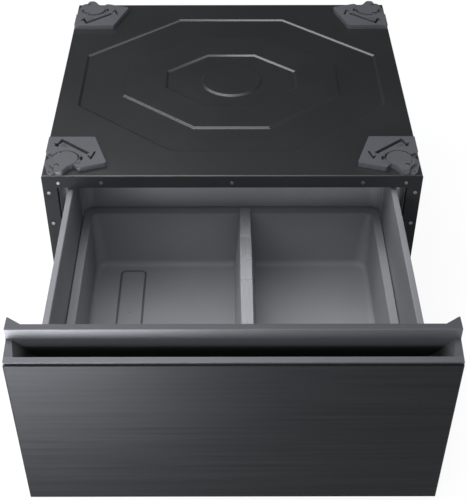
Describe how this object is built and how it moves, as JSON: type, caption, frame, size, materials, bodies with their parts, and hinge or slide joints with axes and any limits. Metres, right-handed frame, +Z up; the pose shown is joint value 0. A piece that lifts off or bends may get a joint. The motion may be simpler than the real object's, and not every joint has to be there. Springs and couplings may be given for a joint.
{
  "type": "washer pedestal drawer",
  "caption": "Laundry pedestal: steel cabinet with foot holders on top and one pull-out storage drawer with a moulded tub and a lift-out divider.",
  "frame": {"origin": "middle of the base of the bounding box with the drawer pulled out 380 mm, on the floor", "axes": "+X to the right seen from the front, +Y to the back, +Z up"},
  "size_m": [0.686, 1.115, 0.361],
  "materials": {
    "charcoal_paint": "satin",
    "frame_paint": "satin",
    "zinc_steel": "satin",
    "slide_steel": "satin",
    "screw_steel": "satin",
    "skin_steel": "satin",
    "holder_plastic": "satin",
    "tub_plastic": "matte",
    "divider_plastic": "matte",
    "handle_plastic": "satin",
    "core_plastic": "matte",
    "box_paint": "satin",
    "rubber": "matte"
  },
  "bodies": {
    "cabinet": {"top_panel": "charcoal_paint", "left_side_panel": "charcoal_paint", "right_side_panel": "charcoal_paint", "back_panel": "charcoal_paint", "front_frame": "frame_paint", "front_top_brace": "zinc_steel", "rear_top_brace": "zinc_steel", "left_slide_carrier": "zinc_steel", "right_slide_carrier": "zinc_steel", "left_slide_outer": "slide_steel", "right_slide_outer": "slide_steel", "holder_front_left": "holder_plastic", "holder_front_right": "holder_plastic", "holder_rear_left": "holder_plastic", "holder_rear_right": "holder_plastic", "holder_screws": "screw_steel", "frame_screws": "screw_steel", "back_screws": "screw_steel", "slide_screws_cabinet": "screw_steel", "leg_bracket_front_left": "zinc_steel", "leg_bracket_front_right": "zinc_steel", "leg_bracket_rear_left": "zinc_steel", "leg_bracket_rear_right": "zinc_steel", "foot_lock_nuts": "screw_steel"},
    "drawer": {"left_drawer_side": "box_paint", "right_drawer_side": "box_paint", "drawer_back": "box_paint", "drawer_base": "box_paint", "tub": "tub_plastic", "left_slide_inner": "slide_steel", "right_slide_inner": "slide_steel", "slide_screws_drawer": "screw_steel", "front_skin": "skin_steel", "front_core": "core_plastic", "front_inner_panel": "zinc_steel", "handle": "handle_plastic", "front_bumpers": "rubber", "drawer_screws": "screw_steel"},
    "divider": {"divider": "divider_plastic"},
    "left_slide_middle_body": {"left_slide_middle": "slide_steel"},
    "left_outer_ball_cage_body": {"left_outer_ball_cage": "slide_steel"},
    "left_inner_ball_cage_body": {"left_inner_ball_cage": "slide_steel"},
    "right_slide_middle_body": {"right_slide_middle": "slide_steel"},
    "right_outer_ball_cage_body": {"right_outer_ball_cage": "slide_steel"},
    "right_inner_ball_cage_body": {"right_inner_ball_cage": "slide_steel"},
    "foot_front_left": {"foot_stud_front_left": "screw_steel", "foot_pad_front_left": "rubber"},
    "foot_front_right": {"foot_stud_front_right": "screw_steel", "foot_pad_front_right": "rubber"},
    "foot_rear_left": {"foot_stud_rear_left": "screw_steel", "foot_pad_rear_left": "rubber"},
    "foot_rear_right": {"foot_stud_rear_right": "screw_steel", "foot_pad_rear_right": "rubber"}
  },
  "joints": [
    {"name": "drawer_slide", "type": "slide", "parent": "cabinet", "child": "drawer", "axis": [0, 1, 0], "range_m": [0, 0.38]},
    {"name": "divider_lift", "type": "slide", "parent": "drawer", "child": "divider", "axis": [0, 0, 1], "range_m": [0, 0.11]},
    {"name": "left_slide_middle_slide", "type": "slide", "parent": "cabinet", "child": "left_slide_middle_body", "axis": [0, 1, 0], "range_m": [0, 0.19]},
    {"name": "left_outer_ball_cage_slide", "type": "slide", "parent": "cabinet", "child": "left_outer_ball_cage_body", "axis": [0, 1, 0], "range_m": [0, 0.095]},
    {"name": "left_inner_ball_cage_slide", "type": "slide", "parent": "cabinet", "child": "left_inner_ball_cage_body", "axis": [0, 1, 0], "range_m": [0, 0.285]},
    {"name": "right_slide_middle_slide", "type": "slide", "parent": "cabinet", "child": "right_slide_middle_body", "axis": [0, 1, 0], "range_m": [0, 0.19]},
    {"name": "right_outer_ball_cage_slide", "type": "slide", "parent": "cabinet", "child": "right_outer_ball_cage_body", "axis": [0, 1, 0], "range_m": [0, 0.095]},
    {"name": "right_inner_ball_cage_slide", "type": "slide", "parent": "cabinet", "child": "right_inner_ball_cage_body", "axis": [0, 1, 0], "range_m": [0, 0.285]},
    {"name": "foot_front_left_turn", "type": "hinge", "parent": "cabinet", "child": "foot_front_left", "pos_m": [-0.301, -0.0605, 0], "axis": [0, 0, 1], "continuous": true},
    {"name": "foot_front_right_turn", "type": "hinge", "parent": "cabinet", "child": "foot_front_right", "pos_m": [0.301, -0.0605, 0], "axis": [0, 0, 1], "continuous": true},
    {"name": "foot_rear_left_turn", "type": "hinge", "parent": "cabinet", "child": "foot_rear_left", "pos_m": [-0.301, 0.5155, 0], "axis": [0, 0, 1], "continuous": true},
    {"name": "foot_rear_right_turn", "type": "hinge", "parent": "cabinet", "child": "foot_rear_right", "pos_m": [0.301, 0.5155, 0], "axis": [0, 0, 1], "continuous": true}
  ],
  "couplings": [
    {"joint": "left_slide_middle_slide", "follows": "drawer_slide", "ratio": 0.5},
    {"joint": "left_outer_ball_cage_slide", "follows": "drawer_slide", "ratio": 0.25},
    {"joint": "left_inner_ball_cage_slide", "follows": "drawer_slide", "ratio": 0.75},
    {"joint": "right_slide_middle_slide", "follows": "drawer_slide", "ratio": 0.5},
    {"joint": "right_outer_ball_cage_slide", "follows": "drawer_slide", "ratio": 0.25},
    {"joint": "right_inner_ball_cage_slide", "follows": "drawer_slide", "ratio": 0.75}
  ]
}
